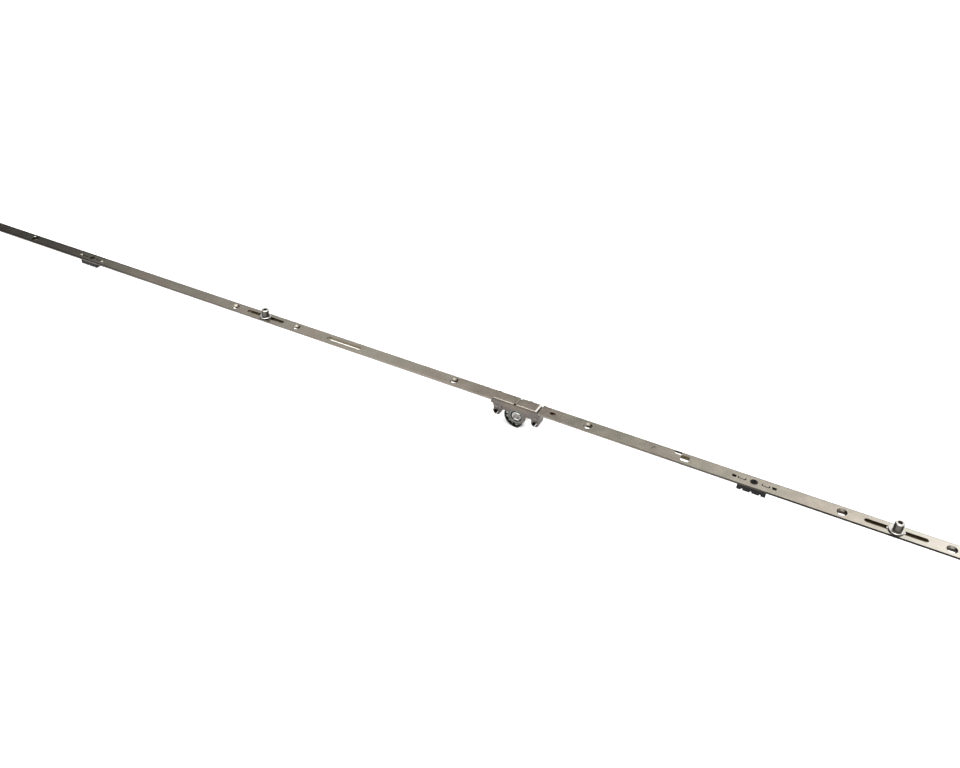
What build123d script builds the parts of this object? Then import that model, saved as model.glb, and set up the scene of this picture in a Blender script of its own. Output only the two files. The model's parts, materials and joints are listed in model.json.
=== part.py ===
from build123d import *
from math import acos, cos, pi, radians, sin, sqrt, tan
import os

# Window espagnolette: a long flat faceplate, a gearbox that hangs under it, and a drive rod
# that slides behind it and carries two adjustable locking cams. Millimetres.
# X runs along the faceplate towards its lower end, Y runs across it, and +Z points out of its
# face. The origin is the middle of the handle spindle, on the faceplate's centre line.

# Backset and faceplate
backset = 15.0
face_width = 16.0
face_thick = 2.0
face_edge_round = 0.5
face_end_bevel = 0.3
upper_reach = 830.0
lower_reach = 440.0

# Seams over the gearbox, and the band of its front shell that stands in front of them
seam_x = -1.0
seam_gap = 0.4
seam_bevel = 0.4
bridge_length = 22.4
bridge_gap = 2.4
bridge_corner_round = 4.0
bridge_end_bevel = 1.4
band_start = -26.2
band_drop = 0.2
band_bevel = 0.6
peg_hole_d = 2.2
peg_hole_depth = 3.0
peg_hole_inset = 0.8

# Stations along the faceplate, measured from the spindle
gearbox_screw_x = 75.0
upper_cam_x = -324.5
lower_cam_x = 358.0
cam_screw_offset = 44.3
end_screw_inset = 38.0
upper_clip_x = -604.5
lower_clip_x = 237.0
upper_window_x = -710.0
lower_window_x = 172.6
spare_slot_x = -214.5
setting_mark_x = 37.5
triangle_x = 142.3

# Faceplate openings
screw_hole_d = 5.6
countersink_d = 9.0
slot_width = 5.0
spare_slot_length = 46.0
mark_length = 6.5
mark_width = 3.0
window_length = 8.0
window_width = 8.0
window_corner_r = 2.0
side_window_length = 6.5
side_window_width = 3.6
side_window_offset_x = -7.8
side_window_edge = 1.2
triangle_side = 5.6
triangle_depth = 0.5

# Drive rod
rod_width = 10.0
rod_thick = 1.8
rod_gap = 0.3
rod_end_inset = 4.0
rod_corner_round = 1.5
screw_shank_d = 4.0
rod_slot_side_gap = 0.2
rod_slot_end_gap = 0.7
rod_window_margin = 3.0
rod_window_width = 6.8
slide_gap = 0.3
coupling_notch_length = 2.0
coupling_notch_depth = 1.4
coupling_notch_pitch = 4.0
coupling_notch_count = 2
coupling_first_notch = 3.0

# Gear and its mesh with the punched rod
teeth = 16
handle_turn = 90.0
pitch_depth = 0.56
gear_width = 5.0
pressure_angle = 20.0
tooth_thick = 2.0
missing_teeth = 3
tooth_tip_gap = 0.75
root_gap = 0.6
tooth_foot = 0.5
backlash = 0.2
window_side_gap = 0.4
hub_wall = 0.9
hub_half_length = 5.1
hub_recess_wall = 0.45
hub_recess_depth = 1.7
sleeve_wall = 0.68
sleeve_half_length = 4.2
sleeve_key_width = 2.2
sleeve_key_depth = 0.6
sleeve_keys = 4
fit_gap = 0.05
spindle_square = 7.0
spindle_gap = 0.1
socket_bevel = 0.4

# Gearbox shells
box_half = 6.0
plate_gap = 0.3
cavity_gap = 0.25
rim_wall = 0.7
handle_screw_pitch = 43.0
handle_screw_hole_d = 5.4
lug_d = 8.6
lug_ring_d = 7.4
lug_ring_height = 0.5
lug_slit_width = 1.3
lug_flare = 1.5
lug_flare_sag = 0.5
lug_shoulder = 34.0
valley_top = 3.2
flank_tilt = -32.1
flank_web = 0.78
saddle_drop = 3.9
saddle_bevel = 1.2
cheek_recess = 0.8
cheek_margin = 0.8
bearing_wall = 0.85
tongue_wall = 1.2
cutaway_start = 164.0
cutaway_end = 376.0
cutaway_over = 1.0
rim_start = 165.0
rim_end = 283.0
shell_edge_round = 0.4
level_step = 0.01

# Fasteners of the gearbox
rivet_d = 2.6
rivet_head_d = 3.8
rivet_head_height = 0.5
rivet_head_taper = 25.0
tab_length = 3.0
tab_width = 1.4
tab_gap = 0.1
tab_proud = 0.15
upper_tab_x = -24.5

# Locking cams
cam_d = 8.2
cam_height = 8.0
cam_offset = 0.8
cam_bevel = 0.5
cam_socket_across = 4.0
cam_socket_depth = 3.2
cam_stem_d = 3.6
cam_head_d = 6.4
cam_head_height = 1.2
cam_head_taper = 20.0
cam_shoe_length = 15.4
flange_d = 13.4
flange_thick = 1.3
flange_gap = 0.1
flange_bevel = 0.4
washer_d = 8.6
washer_thick = 0.8

# Guide clips that hold the rod up to the faceplate
clip_length = 26.0
clip_edge = 0.8
clip_floor = 1.6
clip_tooth_drop = 1.8
clip_tooth_lengths = (4.0, 6.6, 6.6, 4.0)
clip_edge_round = 0.4
clip_hole_d = 7.0
clip_slot_offset = 10.8
clip_slot_length = 7.5
clip_slot_width = 3.0
clip_slot_corner_r = 0.6
clip_slot_cut = 0.95
clip_eye_offset = 18.2
clip_eye_length = 4.2
clip_eye_width = 3.4
clip_hook_gap = 0.25
clip_hook_height = 0.8
clip_rib_width = 3.4
clip_rib_margin = 0.3
clip_pin_d = 6.6
clip_pin_height = 1.5
clip_pin_cross = 1.3
clip_pin_cross_length = 4.6
clip_pin_cross_depth = 1.0

# Levels and sizes that follow from the driving dimensions
face_top = backset
face_under = face_top - face_thick
rod_top = face_under - rod_gap
rod_under = rod_top - rod_thick
rod_half = rod_width / 2
channel_half = rod_half + slide_gap
bridge_start = seam_x + seam_gap
bridge_end = bridge_start + bridge_length
bridge_middle = (bridge_start + bridge_end) / 2
lower_face_start = bridge_end + bridge_gap
pitch_r = rod_under + pitch_depth
stroke = pitch_r * radians(handle_turn)
cam_slot_length = 2 * stroke + cam_shoe_length + 2 * slide_gap
rack_pitch = 2 * pi * pitch_r / teeth
tip_r = face_under - tooth_tip_gap
root_r = rod_under - root_gap
cavity_r = tip_r + cavity_gap
bowl_r = cavity_r + rim_wall
flank_lean = (pitch_r - rod_under) * tan(radians(pressure_angle))
rack_bar = rack_pitch - tooth_thick - 2 * flank_lean - backlash
rack_window = rack_pitch - rack_bar
engaged_half = sqrt(tip_r ** 2 - rod_under ** 2)
rack_windows = 2 * int((stroke + engaged_half) / rack_pitch) + 1
handle_screw_x = handle_screw_pitch / 2
plate_inner = gear_width / 2 + plate_gap
lug_outer = handle_screw_x + lug_d / 2
lug_inner = handle_screw_x - lug_d / 2
box_top_half = lug_outer + lug_flare
face_half = face_width / 2
band_inner = channel_half - tab_gap
band_end = lower_face_start - tab_gap
saddle_low = face_under - saddle_drop
block_top = rod_under - slide_gap
sleeve_d = (spindle_square + spindle_gap) * sqrt(2) + 2 * sleeve_wall
hub_d = sleeve_d + 2 * (sleeve_key_depth + hub_wall)
bearing_r = hub_d / 2 + fit_gap
bearing_outer_r = bearing_r + bearing_wall
tongue_r = bearing_outer_r + fit_gap + tongue_wall
cheek_front = box_half - cheek_recess
flank_reach = tongue_r + flank_web
rivet_z = (lug_ring_d / 2 + saddle_low) / 2
cheek_half_length = lug_inner - cheek_margin
lower_tab_x = lower_face_start + tab_length / 2
rod_screw_slot = 2 * stroke + screw_shank_d + 2 * rod_slot_end_gap
rod_screw_slot_width = screw_shank_d + 2 * rod_slot_side_gap
clip_half_width = face_half - clip_edge
clip_rib_reach = clip_eye_offset + clip_eye_length / 2 + clip_rib_margin
clip_slot_in_rod = 2 * (clip_rib_reach + stroke + slide_gap) + clip_rib_width + 2 * slide_gap

os.makedirs("parts", exist_ok=True)


def save(builder, name):
    builder.part.label = name
    export_step(builder.part, "parts/" + name + ".step")


# Shapes that several pieces share


def bar_profile(width, low, high, edge_round, x):
    """Cross-section of a flat strip at station x, rounded along its two top edges."""
    with BuildSketch(Plane.YZ.offset(x)) as profile:
        with Locations((0, (low + high) / 2)):
            Rectangle(width, high - low)
        fillet(profile.vertices().group_by(Axis.Z)[-1], edge_round)
    return profile.sketch


def slots(stations, length, width, level):
    """Slots with round ends along the strip, one at each station."""
    with BuildSketch(Plane.XY.offset(level)) as openings:
        with Locations(*[(x, 0) for x in stations]):
            SlotOverall(length, width)
    return openings.sketch


def window_pair(x):
    """The service opening: a main window with round corners and a smaller one by the edge."""
    side_y = face_half - side_window_edge - side_window_width / 2
    with BuildSketch(Plane.XY.offset(face_under)) as openings:
        with Locations((x, 0)):
            RectangleRounded(window_length, window_width, window_corner_r)
        with Locations((x + side_window_offset_x, side_y)):
            Rectangle(side_window_length, side_window_width)
    return openings.sketch


def clip_openings(x):
    """The openings over a guide clip: a round hole, and on each side a slot cut round a tab."""
    with BuildSketch(Plane.XY.offset(face_under)) as openings:
        with Locations((x, 0)):
            Circle(clip_hole_d / 2)
        with Locations((x - clip_slot_offset, 0), (x + clip_slot_offset, 0)):
            RectangleRounded(clip_slot_length, clip_slot_width, clip_slot_corner_r)
        lift = clip_slot_cut / 2
        with Locations((x - clip_slot_offset, lift), (x + clip_slot_offset, lift)):
            Rectangle(clip_slot_length - 2 * clip_slot_cut, clip_slot_width - clip_slot_cut,
                      mode=Mode.SUBTRACT)
    return openings.sketch


def clip_eye(x):
    """A small opening over the end of a guide clip. Half of it slopes down through the plate."""
    with BuildSketch(Plane.XZ.offset(-clip_eye_width / 2)) as side_view:
        with BuildLine():
            Polyline((x - clip_eye_length / 2, face_top), (x + clip_eye_length / 2, face_top),
                     (x + clip_eye_length / 2, face_under), (x, face_under), close=True)
        make_face()
    return extrude(side_view.sketch, amount=clip_eye_width, mode=Mode.PRIVATE)


def edge_tab(x, gap):
    """Outline of a tab of the gearbox at the back edge, or with a gap the notch for it."""
    with BuildSketch(Plane.XY.offset(face_under)) as tab:
        with Locations((x, face_half - tab_width / 2)):
            Rectangle(tab_length + 2 * gap, tab_width + 2 * gap)
    return tab.sketch


# Upper faceplate, the long one, which runs over the first half of the gearbox
upper_screws = (end_screw_inset - upper_reach, upper_cam_x - cam_screw_offset,
                upper_cam_x + cam_screw_offset, -gearbox_screw_x)
lower_screws = (gearbox_screw_x, lower_cam_x - cam_screw_offset, lower_reach - end_screw_inset)

with BuildPart() as upper_faceplate:
    extrude(bar_profile(face_width, face_under, face_top, face_edge_round, -upper_reach),
            amount=upper_reach + seam_x)
    end_edges = upper_faceplate.edges().filter_by(Axis.Y).group_by(Axis.Z)[-1]
    chamfer(end_edges, face_end_bevel)
    extrude(slots([upper_cam_x], cam_slot_length, slot_width, face_under),
            amount=face_thick, mode=Mode.SUBTRACT)
    extrude(slots([spare_slot_x], spare_slot_length, slot_width, face_under),
            amount=face_thick, mode=Mode.SUBTRACT)
    extrude(window_pair(upper_window_x), amount=face_thick, mode=Mode.SUBTRACT)
    extrude(clip_openings(upper_clip_x), amount=face_thick, mode=Mode.SUBTRACT)
    for side in (-1, 1):
        add(clip_eye(upper_clip_x + side * clip_eye_offset), mode=Mode.SUBTRACT)
    with BuildSketch(Plane.XY.offset(face_under)):
        with Locations(((band_start + seam_x) / 2, -(band_inner + face_half) / 2)):
            Rectangle(seam_x - band_start, face_half - band_inner)
    extrude(amount=face_thick, mode=Mode.SUBTRACT)
    top_edges = upper_faceplate.faces().sort_by(Axis.Z)[-1].outer_wire().edges()
    notch_edge = top_edges.filter_by(Axis.X).sort_by(Axis.X)[-1]
    chamfer(notch_edge, band_bevel)
    extrude(edge_tab(upper_tab_x, tab_gap), amount=face_thick, mode=Mode.SUBTRACT)
    with Locations(*[(x, 0, face_top) for x in upper_screws]):
        CounterSinkHole(screw_hole_d / 2, countersink_d / 2, face_thick)
    with Locations((seam_x - peg_hole_inset, -band_inner, face_top)):
        Hole(peg_hole_d / 2, face_thick)
save(upper_faceplate, "upper_faceplate")

# Lower faceplate, the short one
with BuildPart() as lower_faceplate:
    extrude(bar_profile(face_width, face_under, face_top, face_edge_round, lower_face_start),
            amount=lower_reach - lower_face_start)
    end_edges = lower_faceplate.edges().filter_by(Axis.Y).group_by(Axis.Z)[-1]
    chamfer(end_edges, face_end_bevel)
    extrude(slots([lower_cam_x], cam_slot_length, slot_width, face_under),
            amount=face_thick, mode=Mode.SUBTRACT)
    extrude(slots([setting_mark_x], mark_length, mark_width, face_under),
            amount=face_thick, mode=Mode.SUBTRACT)
    extrude(window_pair(lower_window_x), amount=face_thick, mode=Mode.SUBTRACT)
    extrude(clip_openings(lower_clip_x), amount=face_thick, mode=Mode.SUBTRACT)
    for side in (-1, 1):
        add(clip_eye(lower_clip_x + side * clip_eye_offset), mode=Mode.SUBTRACT)
    extrude(edge_tab(lower_tab_x, tab_gap), amount=face_thick, mode=Mode.SUBTRACT)
    with BuildSketch(Plane.XY.offset(face_top)) as triangle:
        with Locations((triangle_x, 0)):
            Triangle(a=triangle_side, b=triangle_side, c=triangle_side)
    extrude(amount=-triangle_depth, mode=Mode.SUBTRACT)
    with Locations(*[(x, 0, face_top) for x in lower_screws]):
        CounterSinkHole(screw_hole_d / 2, countersink_d / 2, face_thick)
save(lower_faceplate, "lower_faceplate")

# Bridge plate, the short insert between the two faceplates
with BuildPart() as bridge_plate:
    with BuildSketch(Plane.XY.offset(face_under)) as plan:
        with Locations((bridge_middle, (face_half - band_inner) / 2)):
            Rectangle(bridge_length, face_half + band_inner)
        back_corner = plan.vertices().group_by(Axis.X)[0].sort_by(Axis.Y)[-1]
        fillet(back_corner, bridge_corner_round)
    extrude(amount=face_thick)
    top = bridge_plate.faces().sort_by(Axis.Z)[-1]
    chamfer(top.edges().sort_by(Axis.X)[-1], bridge_end_bevel)
    top = bridge_plate.faces().sort_by(Axis.Z)[-1]
    chamfer(top.edges().sort_by(Axis.Y)[0], band_bevel)
    top = bridge_plate.faces().sort_by(Axis.Z)[-1]
    chamfer(top.edges().sort_by(Axis.X)[:2] + top.edges().sort_by(Axis.Y)[-1:], seam_bevel)
    extrude(edge_tab(bridge_middle, tab_gap), amount=face_thick, mode=Mode.SUBTRACT)
save(bridge_plate, "bridge_plate")


# Gearbox shells. Both have one outline: a block under the faceplate, a round bowl about the
# spindle with one straight open flank, and a lug for a handle screw on each side.


def box_outline():
    lug_r = lug_d / 2
    tilt = radians(flank_tilt)
    foot = tilt - acos(flank_reach / bowl_r)
    flank_foot = (bowl_r * cos(foot), bowl_r * sin(foot))
    flank_head = (bowl_r, (flank_reach - bowl_r * cos(tilt)) / sin(tilt))
    shoulder_x = handle_screw_x + lug_r * cos(radians(lug_shoulder))
    shoulder_z = lug_r * sin(radians(lug_shoulder))
    neck_x = (shoulder_x + box_top_half) / 2 - lug_flare_sag
    neck_z = (shoulder_z + block_top) / 2
    with BuildSketch() as outline:
        with BuildLine():
            for side in (-1, 1):
                ThreePointArc((side * box_top_half, block_top), (side * neck_x, neck_z),
                              (side * shoulder_x, shoulder_z))
                ThreePointArc((side * shoulder_x, shoulder_z), (side * handle_screw_x, -lug_r),
                              (side * lug_inner, 0))
                Polyline((side * lug_inner, 0), (side * lug_inner, valley_top),
                         (side * bowl_r, valley_top))
            Line((-bowl_r, valley_top), (-bowl_r, 0))
            ThreePointArc((-bowl_r, 0), (0, -bowl_r), flank_foot)
            Polyline(flank_foot, flank_head, (bowl_r, valley_top))
            Line((-box_top_half, block_top), (box_top_half, block_top))
        make_face()
    return outline.sketch


def sector(start, end, radius):
    """A slice of a disc about the spindle, between two angles."""
    angles = [radians(angle) for angle in (start, (start + end) / 2, end)]
    rim = [(radius * cos(angle), radius * sin(angle)) for angle in angles]
    with BuildSketch() as piece:
        with BuildLine():
            Line((0, 0), rim[0])
            ThreePointArc(*rim)
            Line(rim[-1], (0, 0))
        make_face()
    return piece.sketch


def saddle_wall(side):
    """The wall beside the rod, on one side, which widens the box to carry the faceplate."""
    with BuildSketch(Plane.YZ.offset(-box_top_half)) as wall:
        with BuildLine():
            Polyline((side * channel_half, face_under), (side * face_half, face_under),
                     (side * face_half, saddle_low + saddle_bevel), (side * box_half, saddle_low),
                     (side * channel_half, saddle_low), close=True)
        make_face()
    return extrude(wall.sketch, amount=2 * box_top_half, mode=Mode.PRIVATE)


def saddle_band():
    """The part of the front wall that comes up beside the faceplates, nearly flush with them."""
    height = face_thick - band_drop
    with BuildSketch(Plane.YZ.offset(band_start + tab_gap)) as band:
        with Locations((-(channel_half + face_half) / 2, face_under + height / 2)):
            Rectangle(face_half - channel_half, height)
        fillet(band.vertices().group_by(Axis.Z)[-1].sort_by(Axis.Y)[0], face_edge_round)
    return extrude(band.sketch, amount=band_end - band_start - tab_gap, mode=Mode.PRIVATE)


def through_holes(outer, inner):
    """Rivet holes and handle screw holes through the box. Each lug is slit up to its hole."""
    with BuildSketch(Plane.XZ.offset(outer)) as holes:
        with Locations((-handle_screw_x, rivet_z), (handle_screw_x, rivet_z)):
            Circle(rivet_d / 2 + fit_gap)
        with Locations((-handle_screw_x, 0), (handle_screw_x, 0)):
            Circle(handle_screw_hole_d / 2)
        with Locations((-handle_screw_x, -lug_d / 2), (handle_screw_x, -lug_d / 2)):
            Rectangle(lug_slit_width, lug_d)
    return extrude(holes.sketch, amount=inner - outer, mode=Mode.PRIVATE)


# Front shell: a plate with the bearing for the hub, cut away below so that the teeth show
with BuildPart() as housing_front:
    with BuildSketch(Plane.XZ.offset(plate_inner)):
        add(box_outline())
    extrude(amount=box_half - plate_inner)
    front_edges = housing_front.faces().sort_by(Axis.Y)[0].outer_wire().edges()
    fillet(front_edges.filter_by(lambda e: e.center().Z < block_top - level_step), shell_edge_round)
    add(saddle_wall(-1))
    add(saddle_band())
    with BuildSketch(Plane.XZ.offset(box_half)):
        with Locations((0, (saddle_low - bowl_r) / 2)):
            Rectangle(2 * cheek_half_length, saddle_low + bowl_r)
    extrude(amount=-cheek_recess, mode=Mode.SUBTRACT)
    with BuildSketch(Plane.XZ.offset(plate_inner)):
        add(sector(cutaway_start, cutaway_end, bowl_r + cutaway_over))
        Circle(tongue_r, mode=Mode.SUBTRACT)
    extrude(amount=box_half - plate_inner, mode=Mode.SUBTRACT)
    with BuildSketch(Plane.XZ.offset(box_half)):
        with Locations((-handle_screw_x, 0), (handle_screw_x, 0)):
            Circle(lug_ring_d / 2)
    extrude(amount=lug_ring_height)
    with BuildSketch(Plane.XZ.offset(plate_inner)):
        Circle(bearing_outer_r + fit_gap)
    extrude(amount=box_half, mode=Mode.SUBTRACT)
    add(through_holes(box_half + lug_ring_height, plate_inner), mode=Mode.SUBTRACT)
    with Locations((seam_x - peg_hole_inset, -band_inner, face_top)):
        Hole(peg_hole_d / 2, peg_hole_depth)
save(housing_front, "housing_front")

# Rear shell: a bowl round the gear, whose rim comes forward where the front plate is cut away
with BuildPart() as housing_rear:
    with BuildSketch(Plane.XZ.offset(-box_half)):
        add(box_outline())
    extrude(amount=box_half + plate_inner)
    rear_edges = housing_rear.faces().sort_by(Axis.Y)[-1].outer_wire().edges()
    fillet(rear_edges.filter_by(lambda e: e.center().Z < block_top - level_step), shell_edge_round)
    with BuildSketch(Plane.XZ.offset(plate_inner)):
        add(sector(rim_start, rim_end, bowl_r))
    extrude(amount=cheek_front - plate_inner)
    add(saddle_wall(1))
    with BuildSketch(Plane.XZ.offset(-plate_inner)):
        Circle(cavity_r)
    extrude(amount=plate_inner + cheek_front, mode=Mode.SUBTRACT)
    with BuildSketch(Plane.XZ.offset(-plate_inner)):
        Circle(bearing_outer_r + fit_gap)
    extrude(amount=-box_half, mode=Mode.SUBTRACT)
    add(through_holes(plate_inner, -box_half), mode=Mode.SUBTRACT)
    for x in (upper_tab_x, bridge_middle, lower_tab_x):
        extrude(edge_tab(x, 0), amount=face_thick + tab_proud)
save(housing_rear, "housing_rear")


# Bearing rings, one pressed into each shell, in which the hub turns


def bearing_ring(inner_y, outer_y):
    with BuildPart() as ring:
        with BuildSketch(Plane.XZ.offset(inner_y)):
            Circle(bearing_outer_r)
            Circle(bearing_r, mode=Mode.SUBTRACT)
        extrude(amount=outer_y - inner_y)
    return ring


front_bearing = bearing_ring(plate_inner + fit_gap, cheek_front - fit_gap)
save(front_bearing, "front_bearing")
rear_bearing = bearing_ring(-plate_inner - fit_gap, -cheek_front + fit_gap)
save(rear_bearing, "rear_bearing")

# Rivets that hold the two shells together
with BuildPart() as housing_rivets:
    for x in (-handle_screw_x, handle_screw_x):
        with BuildSketch(Plane.XZ.offset(box_half)):
            with Locations((x, rivet_z)):
                Circle(rivet_d / 2)
        extrude(amount=-2 * box_half)
        for level, growth in ((box_half, rivet_head_height), (-box_half, -rivet_head_height)):
            with BuildSketch(Plane.XZ.offset(level)):
                with Locations((x, rivet_z)):
                    Circle(rivet_head_d / 2)
            extrude(amount=growth, taper=rivet_head_taper)
save(housing_rivets, "housing_rivets")


# Drive gear. Each tooth has two curved flanks through its foot, its pitch point and its tip.


def flank_half_angle(radius):
    """Half the angle that a tooth fills at this radius, on an involute flank."""
    base_r = pitch_r * cos(radians(pressure_angle))
    working = radians(pressure_angle)
    local = acos(min(1.0, base_r / max(radius, base_r)))
    return tooth_thick / 2 / pitch_r + (tan(working) - working) - (tan(local) - local)


def flank_point(radius, side):
    angle = side * flank_half_angle(radius)
    return (radius * sin(angle), radius * cos(angle))


def gear_tooth():
    foot_r = root_r - tooth_foot
    with BuildSketch() as tooth:
        with BuildLine():
            Line(flank_point(foot_r, -1), flank_point(root_r, -1))
            ThreePointArc(flank_point(root_r, -1), flank_point(pitch_r, -1), flank_point(tip_r, -1))
            Line(flank_point(tip_r, -1), flank_point(tip_r, 1))
            ThreePointArc(flank_point(tip_r, 1), flank_point(pitch_r, 1), flank_point(root_r, 1))
            Line(flank_point(root_r, 1), flank_point(foot_r, 1))
            Line(flank_point(foot_r, 1), flank_point(foot_r, -1))
        make_face()
    return tooth.sketch


def sleeve_profile(gap):
    """Round sleeve with keys, or with a gap the hole in the hub that holds it."""
    with BuildSketch(Plane.XZ) as profile:
        Circle(sleeve_d / 2 + gap)
        with PolarLocations(sleeve_d / 2, sleeve_keys):
            Rectangle(2 * (sleeve_key_depth + gap), sleeve_key_width + 2 * gap)
    return profile.sketch


with BuildPart() as drive_gear:
    with BuildSketch(Plane.XZ) as wheel:
        Circle(root_r)
        kept_teeth = teeth - missing_teeth
        with PolarLocations(0, kept_teeth, start_angle=-90, angular_range=360 * kept_teeth / teeth):
            add(gear_tooth())
    extrude(amount=gear_width / 2, both=True)
    with BuildSketch(Plane.XZ) as hub:
        Circle(hub_d / 2)
    extrude(amount=hub_half_length, both=True)
    extrude(sleeve_profile(fit_gap), amount=hub_half_length, both=True, mode=Mode.SUBTRACT)
    for side in (-1, 1):
        with BuildSketch(Plane.XZ.offset(side * hub_half_length)):
            Circle(hub_d / 2 - hub_recess_wall)
        extrude(amount=-side * hub_recess_depth, mode=Mode.SUBTRACT)
save(drive_gear, "drive_gear")

# Spindle sleeve with the square socket for the handle
with BuildPart() as spindle_sleeve:
    extrude(sleeve_profile(0), amount=sleeve_half_length, both=True)
    with BuildSketch(Plane.XZ) as socket:
        Rectangle(spindle_square + spindle_gap, spindle_square + spindle_gap)
    extrude(amount=sleeve_half_length, both=True, mode=Mode.SUBTRACT)
    ends = spindle_sleeve.faces().sort_by(Axis.Y)
    for mouth in (ends[0], ends[-1]):
        chamfer(mouth.inner_wires()[0].edges(), socket_bevel)
save(spindle_sleeve, "spindle_sleeve")

# Drive rod: a flat bar with a punched rack over the gear, a long slot round each faceplate
# screw, and a slot for the rib of each guide clip
with BuildPart() as drive_rod:
    rod_start = rod_end_inset - upper_reach
    rod_end = lower_reach - rod_end_inset
    with BuildSketch(Plane.XY.offset(rod_under)) as blank:
        with Locations(((rod_start + rod_end) / 2, 0)):
            RectangleRounded(rod_end - rod_start, rod_width, rod_corner_round)
        for end, inward in ((rod_start, 1), (rod_end, -1)):
            for count in range(coupling_notch_count):
                x = end + inward * (coupling_first_notch + count * coupling_notch_pitch)
                with Locations((x, rod_half), (x, -rod_half)):
                    Rectangle(coupling_notch_length, 2 * coupling_notch_depth, mode=Mode.SUBTRACT)
    extrude(amount=rod_thick)
    with BuildSketch(Plane.XY.offset(rod_under)) as rack:
        with GridLocations(rack_pitch, 0, rack_windows, 1):
            Rectangle(rack_window, gear_width + 2 * window_side_gap)
    extrude(amount=rod_thick, mode=Mode.SUBTRACT)
    extrude(slots(upper_screws + lower_screws, rod_screw_slot, rod_screw_slot_width, rod_under),
            amount=rod_thick, mode=Mode.SUBTRACT)
    extrude(slots([upper_clip_x, lower_clip_x], clip_slot_in_rod,
                  clip_rib_width + 2 * slide_gap, rod_under), amount=rod_thick, mode=Mode.SUBTRACT)
    extrude(slots([spare_slot_x], spare_slot_length, rod_window_width, rod_under),
            amount=rod_thick, mode=Mode.SUBTRACT)
    extrude(slots([lower_window_x], window_length + 2 * rod_window_margin, rod_window_width,
                  rod_under), amount=rod_thick, mode=Mode.SUBTRACT)
    with Locations((upper_cam_x, 0, rod_top), (lower_cam_x, 0, rod_top)):
        Hole(cam_stem_d / 2 + fit_gap, rod_thick)
    with Locations((setting_mark_x, 0, rod_top)):
        Hole(mark_width / 2, rod_thick)
save(drive_rod, "drive_rod")


# Locking cams: an eccentric roller on a stem, a flanged slider that runs in the faceplate slot,
# and a washer under the rod with the riveted foot of the stem below it


def cam(x):
    flange_top = face_top + flange_gap + flange_thick
    roller_low = flange_top + flange_gap
    washer_low = rod_under - fit_gap - washer_thick
    head_top = washer_low - fit_gap
    with BuildPart() as roller:
        with BuildSketch(Plane.XY.offset(roller_low)):
            with Locations((x + cam_offset, 0)):
                Circle(cam_d / 2)
        extrude(amount=cam_height)
        chamfer(roller.faces().sort_by(Axis.Z)[-1].edges(), cam_bevel)
        with BuildSketch(Plane.XY.offset(roller_low + cam_height)):
            with Locations((x + cam_offset, 0)):
                RegularPolygon(cam_socket_across / 2, 6, major_radius=False)
        extrude(amount=-cam_socket_depth, mode=Mode.SUBTRACT)
        with BuildSketch(Plane.XY.offset(roller_low)):
            with Locations((x, 0)):
                Circle(cam_stem_d / 2)
        extrude(amount=head_top - roller_low)
        with BuildSketch(Plane.XY.offset(head_top)):
            with Locations((x, 0)):
                Circle(cam_head_d / 2)
        extrude(amount=-cam_head_height, taper=cam_head_taper)
    return roller


def cam_slider(x):
    flange_low = face_top + flange_gap
    with BuildPart() as slider:
        with BuildSketch(Plane.XY.offset(flange_low)):
            with Locations((x, 0)):
                Circle(flange_d / 2)
        extrude(amount=flange_thick)
        chamfer(slider.faces().sort_by(Axis.Z)[-1].edges(), flange_bevel)
        with BuildSketch(Plane.XY.offset(rod_top)):
            with Locations((x, 0)):
                SlotOverall(cam_shoe_length, slot_width - 2 * fit_gap)
        extrude(amount=flange_low - rod_top)
        with Locations((x, 0, flange_low + flange_thick)):
            Hole(cam_stem_d / 2 + fit_gap)
    return slider


def cam_washer(x):
    with BuildPart() as washer:
        with BuildSketch(Plane.XY.offset(rod_under - fit_gap)):
            with Locations((x, 0)):
                Circle(washer_d / 2)
                Circle(cam_stem_d / 2 + fit_gap, mode=Mode.SUBTRACT)
        extrude(amount=-washer_thick)
    return washer


for place, cam_x in (("upper", upper_cam_x), ("lower", lower_cam_x)):
    save(cam(cam_x), place + "_cam")
    save(cam_slider(cam_x), place + "_cam_slider")
    save(cam_washer(cam_x), place + "_cam_washer")


# Guide clips: a moulded saddle round the rod whose rib and hooks reach up through the rod's
# slot into the faceplate, held by a pin with a cross recess


def guide_clip(x):
    floor_top = rod_under - slide_gap
    floor_low = floor_top - clip_floor
    gap_count = len(clip_tooth_lengths) - 1
    tooth_gap = (clip_length - sum(clip_tooth_lengths)) / gap_count
    with BuildPart() as clip:
        with BuildSketch(Plane.YZ.offset(x - clip_length / 2)):
            with Locations((0, (floor_low + face_under) / 2)):
                Rectangle(2 * clip_half_width, face_under - floor_low)
            with Locations((0, (floor_top + face_under) / 2)):
                Rectangle(2 * channel_half, face_under - floor_top, mode=Mode.SUBTRACT)
        extrude(amount=clip_length)
        tooth_start = x - clip_length / 2
        for tooth_length in clip_tooth_lengths:
            with BuildSketch(Plane.XY.offset(floor_low)):
                with Locations((tooth_start + tooth_length / 2, 0)):
                    Rectangle(tooth_length, 2 * clip_half_width)
            extrude(amount=-clip_tooth_drop)
            tooth_start += tooth_length + tooth_gap
        fillet(clip.faces().sort_by(Axis.Z)[:4].edges().filter_by(Axis.X), clip_edge_round)
        with BuildSketch(Plane.XY.offset(floor_top)):
            with Locations((x, 0)):
                Rectangle(2 * clip_rib_reach, clip_rib_width)
        extrude(amount=face_under - floor_top)
        hook_x = clip_eye_length / 4
        with BuildSketch(Plane.XY.offset(face_under)):
            with Locations((x - clip_eye_offset + hook_x, 0), (x + clip_eye_offset + hook_x, 0)):
                Rectangle(clip_eye_length / 2 - 2 * clip_hook_gap, clip_eye_width - 2 * clip_hook_gap)
        extrude(amount=clip_hook_height)
    return clip


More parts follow.
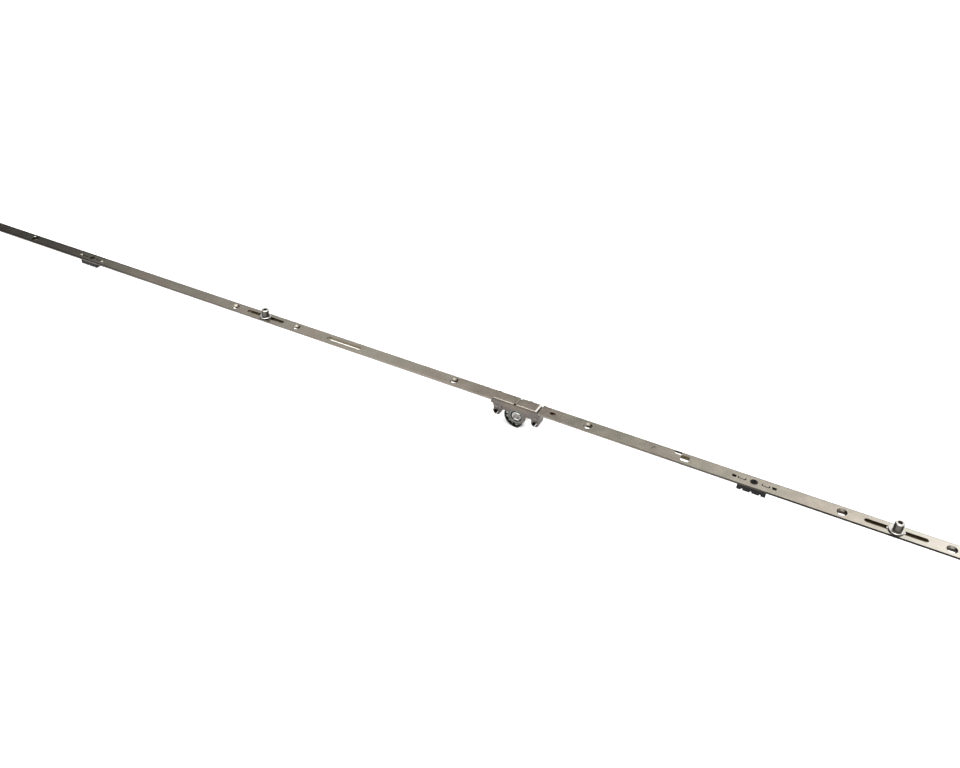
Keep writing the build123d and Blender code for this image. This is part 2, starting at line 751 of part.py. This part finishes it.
def clip_pin(x):
    with BuildPart() as pin:
        with BuildSketch(Plane.XY.offset(face_under)):
            with Locations((x, 0)):
                Circle(clip_pin_d / 2)
        extrude(amount=clip_pin_height)
        with BuildSketch(Plane.XY.offset(face_under + clip_pin_height)):
            with Locations((x, 0)):
                Rectangle(clip_pin_cross_length, clip_pin_cross)
                Rectangle(clip_pin_cross, clip_pin_cross_length)
        extrude(amount=-clip_pin_cross_depth, mode=Mode.SUBTRACT)
    return pin


for place, clip_x in (("upper", upper_clip_x), ("lower", lower_clip_x)):
    save(guide_clip(clip_x), place + "_guide_clip")
    save(clip_pin(clip_x), place + "_clip_pin")
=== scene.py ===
"""Looks of the window espagnolette: materials, floor, light and camera. Metres, in the CAD's frame.

X runs along the faceplate, Y across it away from the handle side, Z out of its face.
"""

import bpy
import json
import math
from mathutils import Matrix, Vector


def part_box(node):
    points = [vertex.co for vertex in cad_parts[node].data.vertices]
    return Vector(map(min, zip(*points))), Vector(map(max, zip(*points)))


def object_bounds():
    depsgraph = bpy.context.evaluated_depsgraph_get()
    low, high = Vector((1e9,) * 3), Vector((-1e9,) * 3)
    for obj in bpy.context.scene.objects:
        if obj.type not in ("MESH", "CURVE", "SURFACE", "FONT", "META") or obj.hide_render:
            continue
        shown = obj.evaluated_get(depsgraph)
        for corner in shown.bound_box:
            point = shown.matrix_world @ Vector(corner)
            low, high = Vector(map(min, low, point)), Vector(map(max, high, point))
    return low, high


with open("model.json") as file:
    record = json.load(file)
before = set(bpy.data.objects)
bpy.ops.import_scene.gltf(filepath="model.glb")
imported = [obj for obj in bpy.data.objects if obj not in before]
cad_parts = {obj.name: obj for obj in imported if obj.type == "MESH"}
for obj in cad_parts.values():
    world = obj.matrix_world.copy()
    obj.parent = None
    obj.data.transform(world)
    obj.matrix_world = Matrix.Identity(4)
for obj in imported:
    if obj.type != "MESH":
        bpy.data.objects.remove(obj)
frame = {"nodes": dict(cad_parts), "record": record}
cad_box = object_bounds()
nodes = frame["nodes"]
scene = bpy.context.scene
mm = 0.001

# Camera, as the photograph was taken
camera_at = Vector((0.2984, -0.6424, 0.5424))
camera_aim = Vector((-0.0493, 0.0089, 0.0142))
camera_roll = math.radians(1.34)
camera_near = 10.0 * mm
lens_mm = 33.0
sensor_mm = 36.0

# Places on the strip where its finish, its painted shade and its painted highlights change
mask_fade = 0.1 * mm
faceplate_half = cad_box[1][1]
rod_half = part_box("drive_rod")[1].y
# Painted shade darkens the edges of the faceplates and the rod over this width
strip_edge = 0.45 * mm
# Painted shade on the rear band of the strip beyond this distance from its centre line
back_line = 7.0 * mm
# Painted shade on the far end's edges beyond this distance from the centre line
far_shade = 6.0 * mm
screw_holes = [x * mm for x in (-792.0, -368.8, -280.2, -75.0, 75.0, 313.7, 402.0)]
# Painted shade in the screw holes within the first radius and in their countersinks within the second
screw_hole_r = 2.95 * mm
countersink_r = 4.6 * mm
bridge_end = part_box("bridge_plate")[1].x
# The painted highlight on the bridge's bevelled end runs from here to the bridge's end
bridge_bevel_start = bridge_end - 1.35 * mm
# Painted shade in the peg hole
peg_hole = (-1.8 * mm, -5.2 * mm)
peg_shade_r = 1.4 * mm
setting_mark = (37.5 * mm, 0.0)
setting_mark_r = 3.0 * mm
setting_mark_fade = 1.2 * mm

# Stretches of X over which the strip's painted shade and painted highlights go from their far look to their
# near one. The far end is the upper one, as the photograph shows it.
far_stretch = (-0.66, -0.53)
far_edges_stretch = (-0.62, -0.50)
front_edge_stretch = (-0.60, -0.10)
near_edge_stretch = (0.03, 0.28)
rod_stretch = (-0.25, 0.12)
walls_stretch = (-0.20, 0.10)
back_line_stretch = (0.0, 0.15)
countersink_stretch = (0.10, 0.25)
cool_stretch = (0.10, 0.32)
bright_stretch = (0.32, 0.40)

# Places on the gearbox and the cams where their finish and their painted shade and highlights change
handle_screws = next(mount for mount in frame["record"]["mounts"] if mount["name"] == "handle_screws")
handle_hole_x = handle_screws["dims"]["spacing_x_mm"] * mm / 2
# Painted shade in the handle screw holes within this radius
handle_hole_r = 2.8 * mm
saddle_low = 9.0 * mm
saddle_half = 19.0 * mm
saddle_fade = 9.0 * mm
# Painted shade on the rim ring about the spindle, between these two radii and below this height
bowl_inner = 12.4 * mm
bowl_outer = 13.4 * mm
bowl_top = 3.3 * mm
# Painted shade in the gear's hub recess within this radius
hub_recess_r = 6.72 * mm
# A painted highlight on the gear's teeth beyond this radius
gear_body_r = 9.6 * mm
# Painted shade on the sleeve beyond its face, in the groove round it
sleeve_face_r = 4.9 * mm
# Painted shade on the side faces of each cam's flange and foot up to this height
cam_foot_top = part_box("lower_cam_slider")[1].z + 0.6 * mm

# Faces count as upright below the first share of Z in their normal, and as flat above the second
upright_limit = 0.15
flat_limit = 0.6

# Stretches of a noise pattern, which runs from 0 to 1, over which a finish changes
cloud_stretch = (0.35, 0.65)
uneven_stretch = (0.3, 0.7)
grain_stretch = (0.4, 0.7)
grain_share = 0.35
hue_stretch = (0.42, 0.58)
scratch_stretch = (0.62, 0.7)

# Surroundings: a floor just under the part, and the light by the X, Y and Z that it comes from
floor_drop = 0.2 * mm
floor_half = 60.0
floor_dark = 0.90
floor_light = 0.92
studio_along = ((-0.85, 0.05), (-0.79, 0.13), (-0.74, 0.27), (-0.66, 0.47), (-0.56, 0.64), (-0.47, 0.72),
                (-0.38, 0.41), (-0.30, 0.35), (-0.14, 0.60), (-0.05, 0.88), (0.04, 1.28), (0.12, 1.85),
                (0.22, 1.95), (0.35, 1.4), (1.0, 1.1))
overhead_rise = (0.74, 0.88)
overhead_light = 10.0
zenith_rise = (0.865, 0.905)
zenith_light = 0.5
front_rise = (-0.30, -0.50)
front_height = (0.45, 0.62)
front_light = 1.2


def rgb(red, green, blue):
    return (red, green, blue, 1)


def grey(level):
    return rgb(level, level, level)


# Colours of the strip, and tints that multiply them: its own colours, hues and marks, and painted shade and
# painted highlights
strip_light = rgb(0.44, 0.394, 0.335)
strip_dark = rgb(0.405, 0.362, 0.307)
pink_tint = rgb(1.015, 0.985, 0.975)
green_tint = rgb(0.975, 1.005, 0.975)
# Painted shade: the far end of the strip darkened
far_end_shade_tint = grey(0.45)
# Painted shade: the far end's edges darkened further
far_edges_shade_tint = grey(0.22)
# Painted highlight at the near end: cooler, then brighter
cool_highlight_tint = rgb(0.965, 1.0, 1.0)
bright_highlight_tint = rgb(1.14, 1.18, 1.23)
# Painted shade on the side walls, at the far end and at the near end
far_walls_shade_tint = rgb(0.32, 0.28, 0.22)
near_walls_shade_tint = rgb(0.20, 0.18, 0.13)
# Painted shade on the rear band, at the far end and at the near end
far_back_shade_tint = grey(0.80)
near_back_shade_tint = grey(0.50)
# Painted shade in the countersinks, at the far end and at the near end
far_countersink_shade_tint = grey(0.55)
near_countersink_shade_tint = grey(0.32)
# Painted shade inside the screw holes
screw_hole_shade = rgb(0.045, 0.034, 0.024)
# Painted highlight on the bridge's bevelled end
bevel_highlight_colour = rgb(0.74, 0.71, 0.66)
mark_colour = rgb(0.19, 0.115, 0.09)
# Painted shade along the edges: at the far end, in the middle and at the near end
far_edge_shade = rgb(0.09, 0.08, 0.072)
middle_edge_shade = rgb(0.17, 0.15, 0.13)
near_edge_shade = rgb(0.014, 0.013, 0.012)
rod_light = rgb(0.20, 0.175, 0.135)
rod_dark = rgb(0.16, 0.14, 0.105)
# Painted shade towards the rod's near end
rod_near_shade_tint = rgb(0.60, 0.57, 0.52)
# Painted shade on the rod under the screw holes
rod_hole_shade = rgb(0.05, 0.037, 0.026)
# Painted shade along the rod's edges
rod_edge_shade = rgb(0.05, 0.04, 0.035)
rod_mark_colour = rgb(0.12, 0.07, 0.055)
# Painted shade in hollows: the peg hole and the handle screw holes
hollow_shade = grey(0.01)
# Painted shade on the side faces of a cam's flange and foot
flange_shade_tint = grey(0.35)


# Node helpers


class NodeTree:
    """Short ways to add nodes to a tree and to join them."""

    def __init__(self, tree):
        self.tree = tree

    def add(self, kind, **settings):
        node = self.tree.nodes.new(kind)
        for name, value in settings.items():
            setattr(node, name, value)
        return node

    def put(self, socket, value):
        """Sets a socket to a number or colour, or joins it to another socket."""
        if isinstance(value, bpy.types.NodeSocket):
            self.tree.links.new(value, socket)
        else:
            socket.default_value = value

    def parts(self, vector):
        """The X, Y and Z of a vector."""
        node = self.add("ShaderNodeSeparateXYZ")
        self.put(node.inputs[0], vector)
        return node.outputs["X"], node.outputs["Y"], node.outputs["Z"]

    def math(self, operation, *values):
        node = self.add("ShaderNodeMath", operation=operation)
        for socket, value in zip(node.inputs, values):
            self.put(socket, value)
        return node.outputs[0]

    def remap(self, value, low, high, to_low=0.0, to_high=1.0, curve="LINEAR"):
        node = self.add("ShaderNodeMapRange", interpolation_type=curve)
        self.put(node.inputs["Value"], value)
        for name, number in (("From Min", low), ("From Max", high), ("To Min", to_low), ("To Max", to_high)):
            node.inputs[name].default_value = number
        return node.outputs["Result"]

    def rise(self, value, low, high):
        """A soft step from nought at one value to one at the other."""
        return self.remap(value, low, high, curve="SMOOTHSTEP")

    def mix(self, share, first, second, blend="MIX"):
        node = self.add("ShaderNodeMix", data_type="RGBA", blend_type=blend)
        self.put(node.inputs[0], share)
        self.put(node.inputs[6], first)
        self.put(node.inputs[7], second)
        return node.outputs[2]

    def ramp(self, value, stops):
        """A grey that runs through stops, each a place from -1 to 1 and its level.

        A new ramp has a stop at each end, and both are removed once the others are in.
        """
        node = self.add("ShaderNodeValToRGB")
        elements = node.color_ramp.elements
        for place, level in stops:
            elements.new((place + 1) / 2).color = grey(level)
        elements.remove(elements[0])
        elements.remove(elements[-1])
        self.put(node.inputs["Fac"], self.remap(value, -1.0, 1.0))
        return node.outputs["Color"]


class Material(NodeTree):
    """A principled shader whose patterns and masks follow the frame's coordinates.

    A mask is a share that is one inside its place and nought outside it.
    """

    def __init__(self, name, metallic, roughness, specular=0.5):
        self.material = bpy.data.materials.new(name)
        self.material.use_nodes = True
        super().__init__(self.material.node_tree)
        self.shader = self.tree.nodes["Principled BSDF"]
        self.shader.inputs["Metallic"].default_value = metallic
        self.shader.inputs["Roughness"].default_value = roughness
        self.shader.inputs["Specular IOR Level"].default_value = specular
        source = self.add("ShaderNodeTexCoord")
        self.coordinates = source.outputs["Object"]
        self.facing = source.outputs["Normal"]
        self.x, self.y, self.z = self.parts(self.coordinates)

    def stretched(self, x, y, z):
        """The coordinates scaled along each axis, so a pattern can run one way."""
        mapping = self.add("ShaderNodeMapping")
        mapping.inputs["Scale"].default_value = (x, y, z)
        self.put(mapping.inputs["Vector"], self.coordinates)
        return mapping.outputs["Vector"]

    def noise(self, vector, scale=1.0, detail=2.0, roughness=0.5):
        node = self.add("ShaderNodeTexNoise")
        self.put(node.inputs["Vector"], vector)
        node.inputs["Scale"].default_value = scale
        node.inputs["Detail"].default_value = detail
        node.inputs["Roughness"].default_value = roughness
        return node.outputs["Fac"]

    def clouded(self, pattern, dark, light):
        """The dark colour in the low parts of a pattern, the light one in its high parts."""
        return self.mix(self.remap(pattern, *cloud_stretch), dark, light)

    def uneven(self, pattern, roughness, less, more):
        """A roughness that a pattern takes down and up a little."""
        return self.remap(pattern, *uneven_stretch, roughness - less, roughness + more)

    def upright(self):
        """A mask of the side faces, without the faces that lie along the faceplate."""
        level = self.math("ABSOLUTE", self.parts(self.facing)[2])
        return self.remap(level, upright_limit, flat_limit, 1.0, 0.0)

    def beyond(self, distance, limit, fade=mask_fade):
        """A mask of the places where a distance is over its limit."""
        return self.remap(distance, limit - fade, limit)

    def within(self, distance, low, high):
        """A mask of the places where a distance lies between two limits."""
        return self.math("SUBTRACT", self.beyond(distance, low), self.beyond(distance, high))

    def before(self, stretch):
        """A mask of the strip's far part, which fades out over a stretch of X."""
        return self.remap(self.x, *stretch, 1.0, 0.0)

    def past(self, stretch):
        """A mask of the strip's near part, which fades in over a stretch of X."""
        return self.remap(self.x, *stretch)

    def between(self, stretch, far, near):
        """One colour before a stretch of X and the other past it, blended on the stretch."""
        return self.mix(self.past(stretch), far, near)

    def across(self):
        """How far a point is from the centre line of the faceplate."""
        return self.math("ABSOLUTE", self.y)

    def length(self, first, second):
        """The length of a vector with these two parts."""
        return self.math("SQRT", self.math("ADD", self.math("MULTIPLY", first, first),
                                           self.math("MULTIPLY", second, second)))

    def off_spindle(self, x=0.0):
        """How far a point is from the spindle's axis, or from one beside it."""
        return self.length(self.math("SUBTRACT", self.x, x), self.z)

    def off_hole(self, x, y=0.0):
        """How far a point is from the axis of a hole through the faceplate."""
        return self.length(self.math("SUBTRACT", self.x, x), self.math("SUBTRACT", self.y, y))

    def disc(self, distance, radius, inside, outside, fade=mask_fade):
        """One colour within a radius and the other beyond it."""
        return self.mix(self.beyond(distance, radius, fade), inside, outside)

    def marked(self, colour, mark):
        """The colour with the soft spot of the setting mark."""
        return self.disc(self.off_hole(*setting_mark), setting_mark_r, mark, colour, setting_mark_fade)

    def tinted(self, share, colour, tint):
        """The colour multiplied by a tint where the share is one."""
        return self.mix(share, colour, tint, "MULTIPLY")

    def bump(self, height, distance, strength, below=None):
        node = self.add("ShaderNodeBump")
        self.put(node.inputs["Height"], height)
        node.inputs["Distance"].default_value = distance
        node.inputs["Strength"].default_value = strength
        if below is not None:
            self.put(node.inputs["Normal"], below)
        return node.outputs["Normal"]

    def finish(self, colour, roughness=None, normal=None):
        self.put(self.shader.inputs["Base Color"], colour)
        if roughness is not None:
            self.put(self.shader.inputs["Roughness"], roughness)
        if normal is not None:
            self.put(self.shader.inputs["Normal"], normal)
        return self.material


# Materials


def strip_steel(m, light, dark, roughness):
    """Zinc plated strip: fine grain along X, passivation in clouds of two hues, and long scratches."""
    grain = m.noise(m.stretched(60, 2600, 2600), detail=4.0)
    cloud = m.noise(m.coordinates, scale=90.0, detail=4.0, roughness=0.6)
    hue = m.noise(m.coordinates, scale=16.0)
    scratch = m.noise(m.stretched(14, 1400, 1400))
    colour = m.clouded(cloud, dark, light)
    colour = m.mix(m.remap(grain, *grain_stretch, to_high=grain_share), colour, light)
    colour = m.tinted(1.0, colour, m.mix(m.remap(hue, *hue_stretch), pink_tint, green_tint))
    rough = m.uneven(cloud, roughness, less=0.02, more=0.03)
    normal = m.bump(grain, distance=0.02 * mm, strength=0.4)
    scratches = m.remap(scratch, *scratch_stretch)
    normal = m.bump(scratches, distance=0.01 * mm, strength=0.15, below=normal)
    return colour, rough, normal


def faceplate_steel():
    """The faceplates and their bridge: strip with painted shade at the far end, on the side walls, rear band
    and edges, in the countersinks and holes, and painted highlights at the near end and on the bridge's
    bevelled end.
    """
    roughness = 0.22
    m = Material("faceplate_steel", metallic=1.0, roughness=roughness)
    colour, rough, normal = strip_steel(m, strip_light, strip_dark, roughness)
    # Painted shade on the side walls
    colour = m.tinted(m.upright(), colour, m.between(walls_stretch, far_walls_shade_tint, near_walls_shade_tint))
    # Painted highlight at the near end: cooler, then brighter
    colour = m.tinted(m.past(cool_stretch), colour, cool_highlight_tint)
    colour = m.tinted(m.past(bright_stretch), colour, bright_highlight_tint)
    # Painted shade in the countersinks
    countersink_shade = m.between(countersink_stretch, far_countersink_shade_tint, near_countersink_shade_tint)
    # Painted shade in each of the countersinks and, darkest, inside its screw hole
    for x in screw_holes:
        distance = m.off_hole(x)
        colour = m.disc(distance, countersink_r, m.tinted(1.0, colour, countersink_shade), colour)
        colour = m.disc(distance, screw_hole_r, screw_hole_shade, colour)
    # Painted highlight on the bridge's bevelled end
    bevel_highlight_mask = m.within(m.x, bridge_bevel_start, bridge_end + mask_fade)
    colour = m.mix(bevel_highlight_mask, colour, bevel_highlight_colour)
    # Painted shade on the rear band
    back_shade = m.between(back_line_stretch, far_back_shade_tint, near_back_shade_tint)
    colour = m.tinted(m.beyond(m.y, back_line), colour, back_shade)
    # Painted shade: the far end darkened
    colour = m.tinted(m.before(far_stretch), colour, far_end_shade_tint)
    # Painted shade: the far end's edges darkened further
    far_edges_shade_mask = m.math("MULTIPLY", m.before(far_edges_stretch), m.beyond(m.across(), far_shade))
    colour = m.tinted(far_edges_shade_mask, colour, far_edges_shade_tint)
    # Painted shade along the edges, changing along X
    edge_shade = m.between(front_edge_stretch, far_edge_shade, middle_edge_shade)
    edge_shade = m.between(near_edge_stretch, edge_shade, near_edge_shade)
    colour = m.mix(m.beyond(m.across(), faceplate_half - strip_edge), colour, edge_shade)
    # Painted shade in the peg hole
    colour = m.disc(m.off_hole(*peg_hole), peg_shade_r, hollow_shade, colour)
    return m.finish(m.marked(colour, mark_colour), rough, normal)


def rod_steel():
    """The drive rod: plain dark strip, with painted shade at its edges, under the screw holes and towards
    its near end.
    """
    roughness = 0.42
    m = Material("rod_steel", metallic=1.0, roughness=roughness)
    colour, rough, normal = strip_steel(m, rod_light, rod_dark, roughness)
    # Painted shade towards the rod's near end
    colour = m.tinted(m.past(rod_stretch), colour, rod_near_shade_tint)
    # Painted shade on the rod under each screw hole
    for x in screw_holes:
        colour = m.disc(m.off_hole(x), countersink_r, rod_hole_shade, colour)
    # Painted shade along the rod's edges
    colour = m.mix(m.beyond(m.across(), rod_half - strip_edge), colour, rod_edge_shade)
    return m.finish(m.marked(colour, rod_mark_colour), rough, normal)


def cast_zinc(name, light, dark, saddle, bowl_rim_shade, roughness):
    """Die cast zinc: satin skin with a fine orange peel and faint flow marks, and painted shade in its
    hollows and on the rim ring round the gear.
    """
    m = Material(name, metallic=1.0, roughness=roughness)
    flow = m.noise(m.stretched(220, 220, 90), detail=5.0, roughness=0.6)
    peel = m.noise(m.coordinates, scale=2600.0)
    colour = m.clouded(flow, dark, light)
    along = m.math("ABSOLUTE", m.x)
    middle = m.remap(along, saddle_half - saddle_fade, saddle_half, 1.0, 0.0)
    colour = m.mix(m.math("MULTIPLY", m.beyond(m.z, saddle_low), middle), colour, saddle)
    # Painted shade on the rim ring round the gear
    ring = m.within(m.off_spindle(), bowl_inner, bowl_outer)
    below_top = m.math("SUBTRACT", 1.0, m.beyond(m.z, bowl_top))
    colour = m.mix(m.math("MULTIPLY", ring, below_top), colour, bowl_rim_shade)
    # Painted shade in the peg hole and the handle screw holes
    colour = m.disc(m.off_hole(*peg_hole), peg_shade_r, hollow_shade, colour)
    for x in (-handle_hole_x, handle_hole_x):
        colour = m.disc(m.off_spindle(x), handle_hole_r, hollow_shade, colour)
    rough = m.uneven(flow, roughness, less=0.06, more=0.08)
    return m.finish(colour, rough, m.bump(peel, distance=0.04 * mm, strength=0.5))


def machined_steel(name, light, dark, roughness, side=None, inner=None, outer=None, metallic=1.0):
    """Pressed or turned steel under bright zinc: fine speckle, with a little cloud.

    side is the colour of the side faces, painted shade, darker still on a cam's flange and foot. inner and
    outer are a radius about the spindle and the colour inside or outside it, used as painted shade and as a
    painted highlight.
    """
    m = Material(name, metallic, roughness)
    speckle = m.noise(m.coordinates, scale=3200.0)
    cloud = m.noise(m.coordinates, scale=260.0, detail=4.0, roughness=0.6)
    colour = m.clouded(cloud, dark, light)
    # Painted shade on the side faces, darker still on a cam's flange and foot
    if side:
        colour = m.mix(m.upright(), colour, side)
        foot = m.math("SUBTRACT", 1.0, m.beyond(m.z, cam_foot_top))
        colour = m.tinted(m.math("MULTIPLY", foot, m.upright()), colour, flange_shade_tint)
    if inner:
        colour = m.disc(m.off_spindle(), inner[0], inner[1], colour)
    if outer:
        colour = m.disc(m.off_spindle(), outer[0], colour, outer[1])
    rough = m.uneven(speckle, roughness, less=0.05, more=0.05)
    return m.finish(colour, rough, m.bump(speckle, distance=0.01 * mm, strength=0.4))


def moulded_plastic(name, light, dark, roughness):
    """Dark moulded plastic with a fine eroded texture."""
    m = Material(name, metallic=0.0, roughness=roughness, specular=0.08)
    cloud = m.noise(m.coordinates, scale=300.0, detail=3.0)
    erosion = m.noise(m.coordinates, scale=4200.0)
    rough = m.uneven(erosion, roughness, less=0.05, more=0.08)
    return m.finish(m.clouded(cloud, dark, light), rough, m.bump(erosion, distance=0.02 * mm, strength=0.5))


finishes = {
    "faceplate_steel": faceplate_steel(),
    "rod_steel": rod_steel(),
    # Shell: the last colour is painted shade on the rim ring round the gear
    "shell_zinc": cast_zinc(
        "shell_zinc", light=rgb(0.135, 0.118, 0.11), dark=rgb(0.10, 0.088, 0.08),
        saddle=rgb(0.145, 0.124, 0.104), bowl_rim_shade=rgb(0.075, 0.078, 0.07), roughness=0.38),
    # Gear: inner is painted shade in the hub recess, outer a painted highlight on the teeth
    "gear_steel": machined_steel(
        "gear_steel", light=rgb(0.20, 0.207, 0.187), dark=rgb(0.16, 0.165, 0.15), roughness=0.5,
        inner=(hub_recess_r, grey(0.02)), outer=(gear_body_r, rgb(0.60, 0.61, 0.56)), metallic=0.15),
    "bearing_steel": machined_steel(
        "bearing_steel", light=rgb(0.125, 0.127, 0.117), dark=rgb(0.095, 0.097, 0.089), roughness=0.34),
    # Sleeve: outer is painted shade in the groove round its face
    "sleeve_zinc": machined_steel(
        "sleeve_zinc", light=rgb(0.50, 0.49, 0.475), dark=rgb(0.40, 0.39, 0.375), roughness=0.26,
        outer=(sleeve_face_r, grey(0.03))),
    # Cam: side is painted shade on the side faces
    "cam_steel": machined_steel(
        "cam_steel", light=rgb(0.53, 0.51, 0.48), dark=rgb(0.45, 0.43, 0.40), roughness=0.28,
        side=rgb(0.088, 0.086, 0.078)),
    "rivet_steel": machined_steel(
        "rivet_steel", light=rgb(0.19, 0.175, 0.165), dark=rgb(0.145, 0.132, 0.124), roughness=0.30),
    "clip_plastic": moulded_plastic(
        "clip_plastic", light=rgb(0.014, 0.013, 0.0125), dark=rgb(0.009, 0.0085, 0.008), roughness=0.34),
}

for part in frame["record"]["subparts"]:
    slots = nodes[part["node"]].data.materials
    slots.clear()
    slots.append(finishes[part["material_slot"]])


# Floor, light and camera


def add_floor():
    mesh = bpy.data.meshes.new("floor")
    corners = [(x * floor_half, y * floor_half, 0.0) for x, y in ((-1, -1), (1, -1), (1, 1), (-1, 1))]
    mesh.from_pydata(corners, [], [(0, 1, 2, 3)])
    floor = bpy.data.objects.new("floor", mesh)
    scene.collection.objects.link(floor)
    floor.location.z = cad_box[0][2] - floor_drop
    pale = Material("pale_floor", metallic=0.0, roughness=0.9, specular=0.0)
    grain = pale.noise(pale.coordinates, scale=40.0)
    mesh.materials.append(pale.finish(pale.mix(grain, grey(floor_dark), grey(floor_light))))


def add_studio():
    """Soft light: dark to bright along X, a bright ring overhead, a dim zenith and a lamp in front."""
    world = bpy.data.worlds.new("studio")
    world.use_nodes = True
    sky = NodeTree(world.node_tree)
    x, y, z = sky.parts(sky.add("ShaderNodeTexCoord").outputs["Generated"])
    light = sky.ramp(x, studio_along)
    light = sky.mix(sky.rise(z, *overhead_rise), light, grey(overhead_light))
    light = sky.mix(sky.rise(z, *zenith_rise), light, grey(zenith_light))
    front = sky.math("MULTIPLY", sky.rise(y, *front_rise), sky.rise(z, *front_height))
    light = sky.mix(front, light, grey(front_light), "ADD")
    sky.put(sky.tree.nodes["Background"].inputs["Color"], light)
    scene.world = world


def add_camera():
    data = bpy.data.cameras.new("camera")
    data.lens = lens_mm
    data.sensor_width = sensor_mm
    data.clip_start = camera_near
    camera = bpy.data.objects.new("camera", data)
    scene.collection.objects.link(camera)
    level = (camera_aim - camera_at).to_track_quat("-Z", "Y").to_matrix()
    turned = level @ Matrix.Rotation(camera_roll, 3, "Z")
    camera.matrix_world = Matrix.Translation(camera_at) @ turned.to_4x4()
    scene.camera = camera


add_floor()
add_studio()
add_camera()
scene.view_settings.view_transform = "Standard"
scene.view_settings.look = "None"
